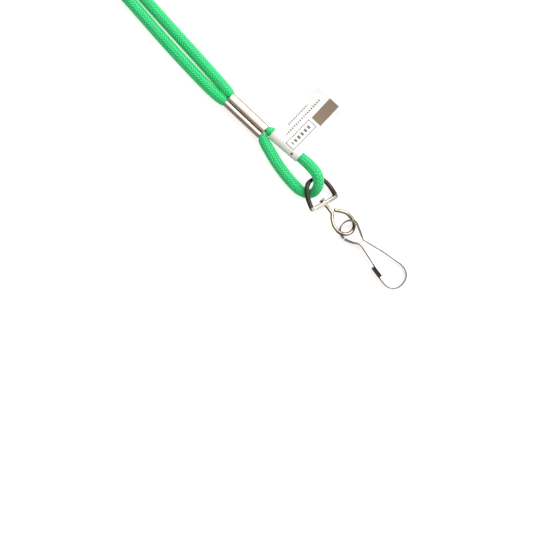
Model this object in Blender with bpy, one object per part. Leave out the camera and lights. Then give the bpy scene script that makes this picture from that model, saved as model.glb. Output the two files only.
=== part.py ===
"""Neck lanyard: a round braided cord whose two legs meet in a crimped sleeve, a D-ring in the loop
below it, a swivel eye in the ring's bar, and a flat spring-steel hook with a snap gate.

The object lies on a surface at z = 0. The origin is the middle of the crimp's underside, +X runs
along the crimp towards the hook and +Z points up. All lengths are in metres.
"""

import math

import bmesh
import bpy
from mathutils import Matrix, Vector

MM = 0.001
GAP = 0.3 * MM  # air between solids that touch

# cord
CORD_D = 4.76 * MM  # 3/16 in round braid
CORD_R = CORD_D / 2
CORD_STEP = 1.1 * CORD_D  # between points on the neck cord
LOOP_STEP = 0.32 * CORD_D

# crimp
CRIMP_LENGTH = 19.05 * MM  # 3/4 in
CRIMP_WIDTH = 6.3 * MM
CRIMP_HEIGHT = 5.8 * MM
CRIMP_WALL = 0.45 * MM
LIP_GAP = 0.36 * MM  # the seam between the two curled edges
LIP_DEPTH = 1.9 * MM  # how far the curled edges dip into the sleeve

# label
LABEL_WIDTH = 14.5 * MM  # along the cord
LABEL_LENGTH = 26.0 * MM  # of the flag, from the cord's middle
LABEL_WALL = 0.2 * MM
LABEL_START = 12.8 * MM  # the label's edge nearest the crimp, along X
LABEL_HOLD = 0.94  # the label squeezes the cord to this share of its radius

# D-ring, stamped from strip
D_WIDTH = 12.9 * MM  # outside
D_HEIGHT = 12.0 * MM  # outside, bar to arc
D_THICK = 1.3 * MM
D_STRIP = 2.2 * MM  # strip width, across the ring's plane
D_ROUND = 2.4  # the exponent of the arc: 2 is an ellipse, more is squarer
D_PLACE = Vector((47.38, -4.34, 3.05)) * MM  # middle of the bar's outer face
D_HEADING = -20.0  # degrees from +X, in plan
D_PITCH = 10.0  # the arc is higher than the bar
D_ROLL = 18.0  # the -Y side is higher

# swivel eye, one wire with an upset head
WIRE_D = 1.4 * MM
HEAD_D = 2.6 * MM
HEAD_THICK = 0.75 * MM
HEAD_PLAY = 0.52 * MM  # between the head and the bar
PIN_CLEARANCE = 0.38 * MM  # radial, in the bar's hole
SHANK_LENGTH = 5.2 * MM  # from the bar's middle to the eye
EYE_R = 4.3 * MM  # of the wire's centreline in the eye's round end
EYE_REACH = 11.4 * MM  # from the bar's middle to the centre of the round end
EYE_OFFSET = 1.2 * MM  # the round end's centre lies this far to one side of the shank
SWIVEL_HEADING = -8.0
SWIVEL_PITCH = 0.8
SWIVEL_ROLL = 24.0

# hook, bent from spring strip
STRIP_THICK = 0.45 * MM
STRIP_WIDTH = 2.5 * MM
HOOK_ROLL = 17.0  # how far the top loop is turned out of the hook's own plane
HOOK_TOP_Z = 2.65 * MM  # height of the strip's middle at the eye
CATCH_LENGTH = 4.7 * MM
CATCH_DEPTH = 1.3 * MM  # how far the flanges reach inwards from the web
CATCH_INNER = 2.6 * MM  # between the flanges
GATE_TIP_WIDTH = 1.8 * MM

# hank of the neck loop
HANK_NEAR = -76.0 * MM
HANK_LENGTH = 115.0 * MM
HANK_WIDTH = 44.0 * MM
HANK_HEIGHT = 12.0 * MM
HANK_MIDDLE_Y = 8.0 * MM
TIE_WIDTH = 7.0 * MM
TIE_THICK = 0.5 * MM
WAIST_DEPTH = 0.8 * MM  # the hank is pulled in by this much under its tie

# (x, y, z, share of the full radius), millimetres, from the crimp outwards
LEFT_LEG = [
    (-10.0, -1.66, 2.90, 0.60), (-10.9, -1.68, 2.90, 0.68), (-13.0, -1.90, 2.75, 0.79),
    (-18.0, -1.80, 2.60, 0.83), (-26.0, -1.45, 2.45, 0.87), (-38.0, -0.80, 2.40, 0.94),
    (-50.0, 0.20, 2.40, 1.0), (-62.0, 1.35, 2.40, 1.0), (-75.7, 2.60, 2.40, 1.0),
]
RIGHT_LEG = [
    (-10.0, 1.66, 2.90, 0.60), (-10.9, 1.70, 2.90, 0.68), (-13.0, 2.02, 2.75, 0.79),
    (-18.0, 2.35, 2.60, 0.83), (-26.0, 2.95, 2.45, 0.87), (-38.0, 4.05, 2.40, 0.94),
    (-50.0, 5.20, 2.40, 1.0), (-62.0, 6.40, 2.40, 1.0), (-75.7, 7.70, 2.40, 1.0),
]
LOOP = [
    (10.05, -1.66, 2.90, 0.60), (10.9, -1.72, 2.90, 0.68), (12.8, -2.55, 2.75, 0.82),
    (16.8, -3.80, 2.50, 0.96), (22.6, -5.40, 2.40, 1.0), (29.2, -6.50, 2.40, 1.0),
    (34.2, -6.95, 2.30, 0.95), (37.3, -6.70, 2.05, 0.85), (39.8, -5.50, 2.45, 0.78),
    (40.9, -3.50, 4.25, 0.76), (40.7, -1.20, 6.30, 0.78), (39.1, 0.90, 7.75, 0.83),
    (36.3, 2.30, 8.15, 0.93), (32.0, 2.85, 6.30, 0.97), (27.6, 2.75, 4.65, 0.94),
    (22.5, 2.64, 4.11, 0.94), (17.5, 2.54, 3.58, 0.94), (13.4, 2.40, 3.15, 0.92),
    (10.9, 1.76, 2.91, 0.68), (10.05, 1.66, 2.90, 0.60),
]

# strip's middle in plan, millimetres from the eye's centre: the top loop, the back and the J
HOOK_PLAN = [
    (3.95, -4.36), (2.3, -4.05), (0.9, -3.3), (-0.1, -2.1), (-0.45, -0.4), (0.0, 1.6),
    (1.4, 3.0), (3.2, 3.5), (5.7, 2.5), (8.1, 1.4), (9.9, 0.6), (11.3, 0.85), (15.7, 1.8),
    (20.0, 2.7), (24.9, 3.4), (27.6, 3.75), (29.6, 3.6), (31.4, 2.85), (32.7, 1.5),
    (33.4, -0.3), (33.5, -2.3), (32.9, -4.3), (31.6, -5.75), (29.6, -6.45), (27.4, -6.45),
    (25.3, -6.15), (22.8, -5.72), (20.3, -5.3),
]
GATE_PLAN = [
    (4.35, -4.33), (5.5, -4.0), (7.7, -3.1), (8.9, -2.35), (10.1, -1.9), (11.8, -2.0),
    (14.4, -2.6), (17.7, -3.4), (20.3, -4.1), (23.4, -4.75),
]


def clear_scene():
    for obj in list(bpy.data.objects):
        bpy.data.objects.remove(obj)


def make_material(name, colour, roughness, metallic):
    mat = bpy.data.materials.new(name)
    mat.use_nodes = True
    shader = mat.node_tree.nodes["Principled BSDF"]
    shader.inputs["Base Color"].default_value = (*colour, 1.0)
    shader.inputs["Roughness"].default_value = roughness
    shader.inputs["Metallic"].default_value = metallic
    mat.diffuse_color = (*colour, 1.0)
    return mat


def add_object(name, data, mat, origin=None, parent=None):
    """Links data as an object, with its origin on a joint's axis where one is given."""
    obj = bpy.data.objects.new(name, data)
    data.materials.append(mat)
    bpy.context.scene.collection.objects.link(obj)
    if origin is not None:
        data.transform(Matrix.Translation(-origin))
        obj.location = origin
    if parent is not None:
        obj.parent = parent
        obj.location = origin - Vector(parent["joint_at"])
    if origin is not None:
        obj["joint_at"] = origin[:]
    return obj


def mesh_from(name, bm, sharp=35.0):
    """Closes a bmesh into mesh data with outward faces and smooth round sides."""
    bmesh.ops.recalc_face_normals(bm, faces=bm.faces)
    mesh = bpy.data.meshes.new(name)
    bm.to_mesh(mesh)
    bm.free()
    mesh.shade_smooth()
    mesh.set_sharp_from_angle(angle=math.radians(sharp))
    return mesh


def catmull(points, step):
    """Evenly spaced points on a smooth curve through the given ones. Any number of coordinates."""
    size = len(points[0])
    ends = [
        [2 * points[0][k] - points[1][k] for k in range(size)],
        *points,
        [2 * points[-1][k] - points[-2][k] for k in range(size)],
    ]
    fine = []
    for a, b, c, d in zip(ends, ends[1:], ends[2:], ends[3:]):
        for i in range(40):
            t = i / 40
            fine.append([
                0.5 * (2 * q + (r - p) * t + (2 * p - 5 * q + 4 * r - s) * t * t
                       + (3 * q - p - 3 * r + s) * t ** 3)
                for p, q, r, s in zip(a, b, c, d)
            ])
    fine.append(list(points[-1]))
    places = [0.0]
    for p, q in zip(fine, fine[1:]):
        places.append(places[-1] + math.dist(p[:3], q[:3]))
    count = max(2, round(places[-1] / step))
    out, j = [], 0
    for i in range(count + 1):
        want = places[-1] * i / count
        while j < len(places) - 2 and places[j + 1] < want:
            j += 1
        t = (want - places[j]) / max(places[j + 1] - places[j], 1e-12)
        out.append([p + (q - p) * t for p, q in zip(fine[j], fine[j + 1])])
    return out


def tube(name, route, radius, mat, sides=2, **where):
    """A round tube along (x, y, z, share of radius) points, as a curve with filled caps."""
    data = bpy.data.curves.new(name, "CURVE")
    data.dimensions = "3D"
    data.bevel_depth = radius
    data.bevel_resolution = sides
    data.use_fill_caps = True
    spline = data.splines.new("POLY")
    spline.points.add(len(route) - 1)
    for point, (x, y, z, share) in zip(spline.points, route):
        point.co = (x, y, z, 1.0)
        point.radius = share
    return add_object(name, data, mat, **where)


def cord_tube(name, route, mat, step):
    """A stretch of cord through hand-set points in millimetres."""
    points = [(x, y, z, share) for x, y, z, share in catmull(route, step / MM)]
    scaled = [(x * MM, y * MM, z * MM, share) for x, y, z, share in points]
    return tube(name, scaled, CORD_R, mat)


def loft(rings):
    """A closed bmesh through rings of equally many points, capped at both ends."""
    bm = bmesh.new()
    loops = [[bm.verts.new(p) for p in ring] for ring in rings]
    for lower, upper in zip(loops, loops[1:]):
        for i in range(len(lower)):
            j = (i + 1) % len(lower)
            bm.faces.new((lower[i], lower[j], upper[j], upper[i]))
    bm.faces.new(loops[0])
    bm.faces.new(list(reversed(loops[-1])))
    return bm


def band(inner, outer, along):
    """A closed bmesh between two outlines of equally many points, given depth by a vector."""
    bm = bmesh.new()
    loops = [[bm.verts.new(p) for p in outline] for outline in (inner, outer)]
    count = len(inner)
    faces = [
        bm.faces.new((loops[0][i], loops[0][(i + 1) % count],
                      loops[1][(i + 1) % count], loops[1][i]))
        for i in range(count)
    ]
    grown = bmesh.ops.extrude_face_region(bm, geom=faces)["geom"]
    moved = [v for v in grown if isinstance(v, bmesh.types.BMVert)]
    bmesh.ops.translate(bm, vec=along, verts=moved)
    return bm


def turned(heading, pitch, roll):
    """Axes of a piece: first its heading in plan, then nose down by pitch, then -Y side up."""
    return (Matrix.Rotation(math.radians(heading), 3, "Z")
            @ Matrix.Rotation(math.radians(pitch), 3, "Y")
            @ Matrix.Rotation(math.radians(-roll), 3, "X"))


def smoothstep(low, high, value):
    t = min(1.0, max(0.0, (value - low) / (high - low)))
    return t * t * (3 - 2 * t)


# crimp and the cord inside it


def crimp_half():
    """The strip's middle line, from the lip's edge to the middle of the underside, in (y, z)."""
    half, side, top = CRIMP_WALL / 2, CRIMP_WIDTH / 2, CRIMP_HEIGHT
    lip = LIP_GAP / 2 + half
    points = [
        (lip, top - LIP_DEPTH), (lip + 0.02 * MM, top - 0.55 * LIP_DEPTH),
        (lip + 0.30 * MM, top - 0.22 * LIP_DEPTH), (0.5 * side, top - half),
        (0.80 * side, top - 0.12 * top), (side - half, 0.68 * top), (side - half, 0.5 * top),
        (side - half, 0.32 * top), (0.80 * side, 0.11 * top), (0.46 * side, half),
    ]
    return [Vector(p) for p in catmull(points, 0.62 * MM)] + [Vector((0.0, half))]


def thickened(line, wall):
    """Both sides of a line in a plane, as two lists of points."""
    first, second = [], []
    for i, p in enumerate(line):
        ahead, behind = line[min(i + 1, len(line) - 1)], line[max(i - 1, 0)]
        tangent = (ahead - behind).normalized()
        normal = Vector((-tangent.y, tangent.x)) * wall / 2
        first.append(p + normal)
        second.append(p - normal)
    return first, second


def build_crimp(mat):
    right = crimp_half()
    line = right + [Vector((-p.x, p.y)) for p in reversed(right[:-1])]
    first, second = thickened(line, CRIMP_WALL)
    outline = first + list(reversed(second))
    rings = [[(x, p.x, p.y) for p in outline] for x in (-CRIMP_LENGTH / 2, CRIMP_LENGTH / 2)]
    return add_object("crimp_sleeve", mesh_from("crimp_sleeve", loft(rings)), mat)


def squeezed_cord(name, side, start, end, mat):
    """The cord inside one barrel of the crimp, pressed to a tall oval."""
    lip = LIP_GAP / 2 + CRIMP_WALL
    low, high = lip + GAP / 2, CRIMP_WIDTH / 2 - CRIMP_WALL - GAP / 2
    half_w, middle = (high - low) / 2, side * (high + low) / 2
    half_h = CRIMP_HEIGHT / 2 - CRIMP_WALL - 1.2 * GAP
    rings = []
    for x in (start, end):
        angles = [math.tau * i / 16 for i in range(16)]
        rings.append([
            (x, middle + half_w * math.cos(a), CRIMP_HEIGHT / 2 + half_h * math.sin(a))
            for a in angles
        ])
    return add_object(name, mesh_from(name, loft(rings)), mat)


# label


def build_label(mat):
    """A paper band wrapped round the loop's return leg, its two ends stuck together as a flag."""
    foot = [p for p in catmull(LOOP, 1.0) if p[1] > 0.0]
    near = min(foot, key=lambda p: abs(p[0] * MM - LABEL_START))
    far = min(foot, key=lambda p: abs(p[0] * MM - LABEL_START - LABEL_WIDTH))
    start, end = (Vector(p[:3]) * MM for p in (near, far))
    inner = LABEL_HOLD * CORD_R + GAP
    outer = inner + LABEL_WALL
    open_angle = math.asin(0.9 * LABEL_WALL / inner)
    steps = 22
    angles = [open_angle + (math.tau - 2 * open_angle) * i / steps for i in range(steps + 1)]
    bm = bmesh.new()

    def vert(y, z):
        return bm.verts.new((0.0, y, z))

    hole = [vert(inner * math.cos(a), inner * math.sin(a)) for a in angles]
    skin = [vert(outer * math.cos(a), outer * math.sin(a)) for a in angles]
    faces = [bm.faces.new((hole[i], hole[i + 1], skin[i + 1], skin[i])) for i in range(steps)]
    faces.append(bm.faces.new((hole[-1], hole[0], skin[0], skin[-1])))
    top, bottom = skin[0], skin[-1]
    for i in range(1, 9):
        share = i / 8
        y = outer + (LABEL_LENGTH - outer) * share
        sink = -(start.z - 1.1 * MM) * smoothstep(0.0, 0.75, share)
        pair = vert(y, sink + 0.9 * LABEL_WALL), vert(y, sink - 0.9 * LABEL_WALL)
        faces.append(bm.faces.new((top, pair[0], pair[1], bottom)))
        top, bottom = pair
    grown = bmesh.ops.extrude_face_region(bm, geom=faces)["geom"]
    moved = [v for v in grown if isinstance(v, bmesh.types.BMVert)]
    rise = end - start
    bmesh.ops.translate(bm, vec=(rise.x, 0.0, 0.0), verts=moved)
    for v in bm.verts:  # the sleeve follows the cord, and the flag stays level
        along = v.co.x / rise.x
        hold = 1.0 - smoothstep(outer, 0.6 * LABEL_LENGTH, v.co.y)
        v.co += Vector((start.x, start.y + rise.y * along, start.z + rise.z * along * hold))
    return add_object("flag_label", mesh_from("flag_label", bm), mat)


# D-ring


def d_outline(inset):
    """Half a superellipse and its bar, in the ring's plane, counter-clockwise."""
    across, along = D_WIDTH / 2 - inset, D_HEIGHT - inset
    points = []
    steps = 30
    for i in range(steps + 1):
        a = math.pi * i / steps
        c, s = math.cos(a), math.sin(a)
        points.append((
            -along * abs(s) ** (2 / D_ROUND),
            math.copysign(across * abs(c) ** (2 / D_ROUND), c),
        ))
    corner = min(0.6 * MM, across / 8)
    points[0] = (-inset - corner, across)
    points[-1] = (-inset - corner, -across)
    return [(-inset, across - corner), *points, (-inset, corner - across)]


def build_d_ring(mat, pivot):
    axes = turned(D_HEADING, D_PITCH, D_ROLL)
    inner, outer = (
        [Vector((u, v, -D_STRIP / 2)) for u, v in d_outline(inset)] for inset in (D_THICK, 0.0)
    )
    bm = band(inner, outer, Vector((0.0, 0.0, D_STRIP)))
    bmesh.ops.transform(bm, matrix=Matrix.Translation(D_PLACE) @ axes.to_4x4(), verts=bm.verts)
    ring = add_object("d_ring", mesh_from("d_ring", bm), mat, origin=pivot)
    bm = bmesh.new()
    bmesh.ops.create_cone(bm, cap_ends=True, segments=20, depth=4 * D_THICK,
                          radius1=WIRE_D / 2 + PIN_CLEARANCE, radius2=WIRE_D / 2 + PIN_CLEARANCE)
    middle = D_PLACE + axes @ Vector((-D_THICK / 2, 0.0, 0.0))
    spin = axes.to_4x4() @ Matrix.Rotation(math.radians(90), 4, "Y")
    bmesh.ops.transform(bm, matrix=Matrix.Translation(middle) @ spin, verts=bm.verts)
    drill = add_object("d_ring_drill", mesh_from("d_ring_drill", bm), mat)
    drill.hide_render = True
    drill.display_type = "WIRE"
    cut = ring.modifiers.new("pin_hole", "BOOLEAN")
    cut.operation = "DIFFERENCE"
    cut.solver = "EXACT"
    cut.object = drill
    return ring


# swivel eye


def bar_middle():
    return D_PLACE + turned(D_HEADING, D_PITCH, D_ROLL) @ Vector((-D_THICK / 2, 0.0, 0.0))


def eye_centre():
    axes = turned(SWIVEL_HEADING, SWIVEL_PITCH, SWIVEL_ROLL)
    return bar_middle() + axes @ Vector((EYE_REACH, EYE_OFFSET, 0.0))


def swivel_line():
    """The wire's middle line with its radius, in the swivel's own axes from the bar's middle."""
    wire, head = WIRE_D / 2, HEAD_D / 2
    seat = -D_THICK / 2 - HEAD_PLAY
    line = [
        (seat - HEAD_THICK, 0.0, 0.55 * head), (seat - 0.82 * HEAD_THICK, 0.0, 0.88 * head),
        (seat - 0.5 * HEAD_THICK, 0.0, head), (seat - 0.1 * HEAD_THICK, 0.0, 0.94 * head),
        (seat, 0.0, wire),
    ]
    left, right = EYE_OFFSET - EYE_R, EYE_OFFSET + EYE_R
    bend = [(SHANK_LENGTH - 1.2 * MM, 0.0), (SHANK_LENGTH, -0.2 * MM),
            (SHANK_LENGTH + 1.6 * MM, 0.52 * left), (0.5 * (SHANK_LENGTH + EYE_REACH) + 0.9 * MM,
                                                     0.93 * left)]
    for i in range(13):
        a = math.pi * (i / 12 - 0.5)
        bend.append((EYE_REACH + EYE_R * math.cos(a), EYE_OFFSET + EYE_R * math.sin(a)))
    bend += [(0.5 * (SHANK_LENGTH + EYE_REACH) + 0.4 * MM, 0.93 * right),
             (SHANK_LENGTH + 1.5 * MM, 0.68 * right),
             (SHANK_LENGTH - 0.2 * MM, WIRE_D + 0.5 * MM)]
    smooth = catmull([(s, t, 0.0) for s, t in bend], 0.75 * MM)
    return line + [(s, t, wire) for s, t, _ in smooth]


def build_swivel(mat, pivot, parent):
    axes = turned(SWIVEL_HEADING, SWIVEL_PITCH, SWIVEL_ROLL)
    middle = bar_middle()
    wire = WIRE_D / 2
    route = []
    for s, t, radius in swivel_line():
        p = middle + axes @ Vector((s, t, 0.0))
        route.append((p.x, p.y, p.z, radius / wire))
    return tube("swivel_eye", route, wire, mat, sides=3, origin=pivot, parent=parent)


# hook and gate


def strip_frame(x, y):
    """Middle of the strip and the lean of its width, for a place in plan from the eye's centre."""
    centre = eye_centre()
    top = 1.0 - smoothstep(6.0 * MM, 12.5 * MM, x)
    rest = STRIP_WIDTH / 2 + 0.02 * MM
    catch_z = CATCH_INNER / 2 + STRIP_THICK
    slope = (catch_z - rest) / (33.5 * MM - 22.5 * MM)
    flat = catch_z - slope * (x - 22.5 * MM)
    roll = math.radians(HOOK_ROLL)
    z = flat + top * (HOOK_TOP_Z - flat + y * math.sin(roll))
    lean = Vector((0.0, -math.sin(roll * top), math.cos(roll * top)))
    return Vector((centre.x + x, centre.y + y, z)), lean


def strip_rings(plan, width_at, step=0.9 * MM):
    """Rectangular sections of the strip along a line in plan."""
    line = catmull([(x * MM, y * MM, 0.0) for x, y in plan], step)
    framed = [strip_frame(x, y) for x, y, _ in line]
    rings = []
    for i, (p, lean) in enumerate(framed):
        ahead, behind = framed[min(i + 1, len(framed) - 1)][0], framed[max(i - 1, 0)][0]
        tangent = (ahead - behind).normalized()
        up = (lean - tangent * lean.dot(tangent)).normalized()
        side = tangent.cross(up)
        half_w, half_t = width_at(i / (len(framed) - 1)) / 2, STRIP_THICK / 2
        rings.append([
            p - up * half_w - side * half_t, p - up * half_w + side * half_t,
            p + up * half_w + side * half_t, p + up * half_w - side * half_t,
        ])
    return rings


def build_hook(mat, pivot, parent):
    hook = add_object("hook", mesh_from("hook", loft(strip_rings(HOOK_PLAN, lambda t: STRIP_WIDTH))),
                      mat, origin=pivot, parent=parent)
    start, end = (Vector((x * MM, y * MM, 0.0)) for x, y in HOOK_PLAN[-1:-4:-2])
    along = (end - start).normalized()
    inward = Vector((-along.y, along.x, 0.0))
    middle, _ = strip_frame(start.x, start.y)
    half_t = STRIP_THICK / 2
    for name, sign in (("upper", 1), ("lower", -1)):
        corners = []
        for a in (-0.05 * MM, CATCH_LENGTH):
            for b in (-half_t, CATCH_DEPTH):
                for c in (CATCH_INNER / 2, CATCH_INNER / 2 + STRIP_THICK):
                    corners.append(middle + along * a + inward * b + Vector((0, 0, sign * c)))
        add_block(hook, name, corners, mat)
    web = []
    for a in (-0.05 * MM, CATCH_LENGTH):
        for b in (-half_t, half_t):
            for c in (-1, 1):
                web.append(middle + along * a + inward * b
                           + Vector((0, 0, c * (CATCH_INNER / 2 + 0.5 * STRIP_THICK))))
    add_block(hook, "web", web, mat)
    return hook


def add_block(obj, name, corners, mat):
    """Joins a block, given by its eight corners, to an object."""
    bm = bmesh.new()
    for corner in corners:
        bm.verts.new(corner)
    bmesh.ops.convex_hull(bm, input=bm.verts)
    block = add_object("catch_" + name + "_block", mesh_from("catch_" + name, bm), mat)
    block.hide_render = True
    block.display_type = "WIRE"
    join = obj.modifiers.new("catch_" + name, "BOOLEAN")
    join.operation = "UNION"
    join.solver = "EXACT"
    join.object = block


def build_gate(mat, parent):
    def width_at(t):
        return STRIP_WIDTH + (GATE_TIP_WIDTH - STRIP_WIDTH) * smoothstep(0.62, 0.8, t)

    x, y = (value * MM for value in GATE_PLAN[0])
    pivot, _ = strip_frame(x, y)
    mesh = mesh_from("hook_gate", loft(strip_rings(GATE_PLAN, width_at)))
    return add_object("hook_gate", mesh, mat, origin=pivot, parent=parent)


# hank of the neck loop and its tie


def rounded_box(half_w, low, high, radius, x):
    """A rounded rectangle across X, as a ring of points."""
    points = []
    for corner, (cy, cz) in enumerate(((1, 1), (-1, 1), (-1, -1), (1, -1))):
        for i in range(4):
            a = math.radians(90 * corner + 30 * i)
            y = cy * (half_w - radius) + radius * math.cos(a)
            z = (high - radius if cz > 0 else low + radius) + radius * math.sin(a)
            points.append((x, HANK_MIDDLE_Y + y, z))
    return points


def build_hank(mat):
    half = HANK_WIDTH / 2
    far = HANK_NEAR - HANK_LENGTH
    middle = HANK_NEAR - HANK_LENGTH / 2
    waist = TIE_WIDTH / 2 + 0.4 * MM
    rings = []
    nose = [(half * (1 - math.cos(math.pi / 2 * i / 8)), half * math.sin(math.pi / 2 * i / 8))
            for i in range(1, 9)]
    for back, w in nose:
        rings.append(rounded_box(w, 0.0, HANK_HEIGHT, min(2.2 * MM, 0.45 * w), HANK_NEAR - back))
    inset = WAIST_DEPTH
    for x, cut in ((middle + waist + 0.6 * MM, 0.0), (middle + waist, inset),
                   (middle - waist, inset), (middle - waist - 0.6 * MM, 0.0)):
        rings.append(rounded_box(half - cut, cut, HANK_HEIGHT - cut, 2.2 * MM, x))
    for back, w in reversed(nose):
        rings.append(rounded_box(w, 0.0, HANK_HEIGHT, min(2.2 * MM, 0.45 * w), far + back))
    return add_object("neck_cord_hank", mesh_from("neck_cord_hank", loft(rings)), mat)


def build_tie(mat):
    cut = WAIST_DEPTH - GAP
    half = HANK_WIDTH / 2
    x = HANK_NEAR - HANK_LENGTH / 2 - TIE_WIDTH / 2
    inner = rounded_box(half - cut, cut, HANK_HEIGHT - cut, 2.2 * MM, x)
    outer = rounded_box(half - cut + TIE_THICK, cut - TIE_THICK, HANK_HEIGHT - cut + TIE_THICK,
                        2.2 * MM + TIE_THICK, x)
    bm = band(inner, outer, Vector((TIE_WIDTH, 0.0, 0.0)))
    return add_object("hank_tie", mesh_from("hank_tie", bm), mat)


def build():
    clear_scene()
    green, sealed = (0.02, 0.62, 0.16), (0.015, 0.40, 0.11)
    nickel, warm_nickel, steel = (0.72, 0.69, 0.64), (0.74, 0.69, 0.60), (0.62, 0.61, 0.59)

    cord_tube("neck_cord_left", LEFT_LEG, make_material("left_cord", green, 0.75, 0.0), CORD_STEP)
    cord_tube("neck_cord_right", RIGHT_LEG, make_material("right_cord", green, 0.75, 0.0), CORD_STEP)
    cord_tube("loop_cord", LOOP, make_material("loop_cord", green, 0.75, 0.0), LOOP_STEP)
    half = CRIMP_LENGTH / 2
    squeezed_cord("crimped_cord", -1, -half, half,
                  make_material("crimped_cord", green, 0.75, 0.0))
    squeezed_cord("cord_end_neck", 1, -half, -GAP / 2,
                  make_material("cord_end_neck", sealed, 0.45, 0.0))
    squeezed_cord("cord_end_loop", 1, GAP / 2, half,
                  make_material("cord_end_loop", sealed, 0.45, 0.0))
    build_crimp(make_material("crimp_nickel", nickel, 0.22, 1.0))
    build_label(make_material("label_paper", (0.88, 0.88, 0.87), 0.6, 0.0))
    build_hank(make_material("hank_cord", green, 0.75, 0.0))
    build_tie(make_material("tie_paper", (0.80, 0.79, 0.76), 0.7, 0.0))

    axes = turned(D_HEADING, D_PITCH, D_ROLL)
    ring_pivot = D_PLACE + axes @ Vector((-D_HEIGHT / 2, 0.0, 0.0))
    ring = build_d_ring(make_material("ring_nickel", nickel, 0.18, 1.0), ring_pivot)
    swivel = build_swivel(make_material("wire_nickel", warm_nickel, 0.2, 1.0), bar_middle(), ring)
    hook = build_hook(make_material("hook_steel", steel, 0.24, 1.0), eye_centre(), swivel)
    build_gate(make_material("gate_steel", steel, 0.26, 1.0), hook)


build()
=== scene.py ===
import math

import bmesh
import bpy
import numpy as np
from mathutils import Matrix, Vector


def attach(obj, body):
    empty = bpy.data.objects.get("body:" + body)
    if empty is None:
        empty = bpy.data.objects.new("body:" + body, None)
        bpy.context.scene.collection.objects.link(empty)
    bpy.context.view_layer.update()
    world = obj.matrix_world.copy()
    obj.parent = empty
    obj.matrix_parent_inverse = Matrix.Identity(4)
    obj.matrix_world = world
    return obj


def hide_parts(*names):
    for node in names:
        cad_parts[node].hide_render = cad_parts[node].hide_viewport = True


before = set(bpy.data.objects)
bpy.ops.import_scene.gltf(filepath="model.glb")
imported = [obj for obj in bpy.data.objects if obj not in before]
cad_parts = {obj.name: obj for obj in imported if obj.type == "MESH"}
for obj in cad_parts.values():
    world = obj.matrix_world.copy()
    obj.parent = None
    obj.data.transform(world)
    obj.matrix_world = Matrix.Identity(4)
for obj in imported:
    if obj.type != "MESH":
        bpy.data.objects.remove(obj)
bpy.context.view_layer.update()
mm = 0.001
print("frame loaded")


camera = {
    "target": (52.03, -38.5, 2.5),  # mm, the middle of the view
    "roll": 43.2,                   # degrees about the vertical
    "side": 220.0,                  # mm of surface across the view
    "lens": 100.0,
    "sensor": 36.0,
    "clip": (0.01, 10),             # metres
}


def addCamera(cfg):
    data = bpy.data.cameras.new("camera")
    data.lens, data.sensor_width = cfg["lens"], cfg["sensor"]
    height = cfg["side"] / 2 * cfg["lens"] / (cfg["sensor"] / 2)
    x, y, z = cfg["target"]
    cam = bpy.data.objects.new("camera", data)
    cam.location = (x * mm, y * mm, (z + height) * mm)
    cam.rotation_euler = (0, 0, math.radians(cfg["roll"]))
    data.clip_start, data.clip_end = cfg["clip"]
    bpy.context.scene.collection.objects.link(cam)
    bpy.context.scene.camera = cam


addCamera(camera)


def smoothLine(points, step):
    # evenly spaced points on a smooth curve through the given ones
    p = np.array(points, float)
    ends = np.vstack([2 * p[0] - p[1], p, 2 * p[-1] - p[-2]])
    between = 40
    t = (np.arange(between) / between)[:, None]
    parts = [0.5 * (2 * b + (c - a) * t + (2 * a - 5 * b + 4 * c - d) * t ** 2
                    + (3 * b - a - 3 * c + d) * t ** 3)
             for a, b, c, d in zip(ends, ends[1:], ends[2:], ends[3:])]
    return evenly(np.vstack(parts + [p[-1:]]), step)


def evenly(line, step):
    along = lengths(line)
    at = np.linspace(0, along[-1], max(2, round(along[-1] / step)) + 1)
    return np.stack([np.interp(at, along, line[:, k]) for k in range(line.shape[1])], axis=1)


def lengths(line):
    return np.concatenate([[0], np.cumsum(np.linalg.norm(np.diff(line[:, :3], axis=0), axis=1))])


def softened(values, width):
    # a Gaussian running mean that keeps both ends; width counts points
    reach = int(3 * width)
    k = np.exp(-np.arange(-reach, reach + 1) ** 2 / (2 * width ** 2))
    ends = np.concatenate([2 * values[0] - values[1:reach + 1][::-1], values,
                           2 * values[-1] - values[-reach - 1:-1][::-1]])
    return np.convolve(ends, k / k.sum(), "valid")


def ramp(low, high, value):
    t = np.clip((value - low) / (high - low), 0, 1)
    return t * t * (3 - 2 * t)


def unit(v):
    return v / np.linalg.norm(v, axis=-1, keepdims=True)


def arc(x, y, radius, start, end, count=12):
    turn = np.radians(np.linspace(start, end, count + 1))
    return [(x + radius * math.cos(a), y + radius * math.sin(a)) for a in turn]


def addPiece(name, mesh, body, *nodes, slot):
    obj = bpy.data.objects.new(name, mesh)
    bpy.context.scene.collection.objects.link(obj)
    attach(obj, body)
    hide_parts(*nodes)
    return obj


def gridMesh(name, rings, uv=None, closed=False):
    # skin over rings of equally many points (mm), with flat ends, or joined into a closed loop
    n, m = rings.shape[:2]
    index = np.arange(n * m).reshape(n, m)
    rows = index if not closed else np.vstack([index, index[:1]])
    side = np.roll(rows, -1, axis=1)
    quads = np.stack([rows[:-1], side[:-1], side[1:], rows[1:]], axis=-1).reshape(-1, 4)
    faces = quads.tolist()
    if not closed:
        faces += [index[0][::-1].tolist(), index[-1].tolist()]
    mesh = bpy.data.meshes.new(name)
    mesh.from_pydata((rings.reshape(-1, 3) * mm).tolist(), [], faces)
    if uv is not None:
        layer = mesh.uv_layers.new(name="along")
        a, s = uv
        u = np.stack([a[:-1], a[1:], a[1:], a[:-1]], axis=-1)[None].repeat(n - 1, 0)
        v = np.stack([s[:-1], s[:-1], s[1:], s[1:]], axis=-1)[:, None].repeat(m, 1)
        values = np.zeros((len(mesh.loops), 2), np.float32)
        values[:u.size, 0], values[:v.size, 1] = u.reshape(-1), v.reshape(-1)
        layer.data.foreach_set("uv", values.reshape(-1))
    mesh.shade_smooth()
    return mesh


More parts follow.
